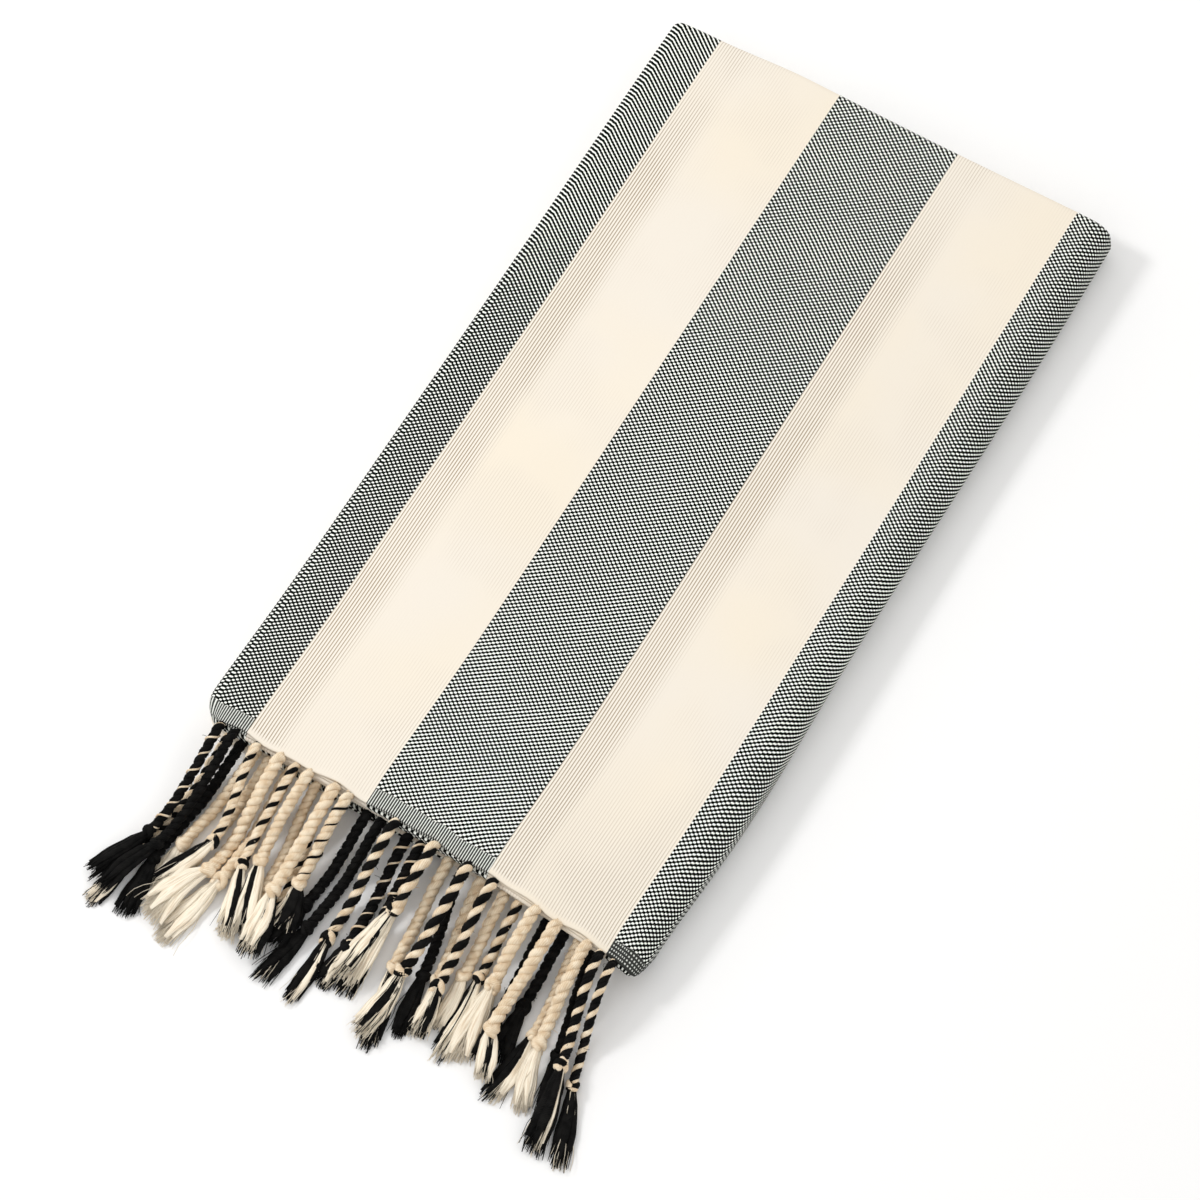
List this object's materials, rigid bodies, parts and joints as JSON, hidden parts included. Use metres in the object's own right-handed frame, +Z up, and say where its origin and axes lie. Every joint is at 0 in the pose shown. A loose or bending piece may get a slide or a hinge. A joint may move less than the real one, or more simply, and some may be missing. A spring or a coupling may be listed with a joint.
{
  "type": "hammam towel",
  "caption": "Folded flat-weave hammam towel with broad cream and dotted black stripes and a knotted rope fringe at both ends, for drying, wrapping or covering.",
  "frame": {"origin": "on the towel's underside, in the middle of the folded cloth, where it rests on the surface", "axes": "+X across the folded towel, -Y towards the fringe, +Z up from the surface"},
  "size_m": [0.2699, 0.5552, 0.0241],
  "materials": {
    "striped_cotton": "matte flat weave, lengthwise cream stripes between stripes of black dots on off-white",
    "cotton_rope": "matte twisted cotton yarn, cream and black"
  },
  "bodies": {
    "root": {"towel": "striped_cotton", "fringe_top": "cotton_rope", "fringe_under": "cotton_rope"}
  },
  "joints": []
}
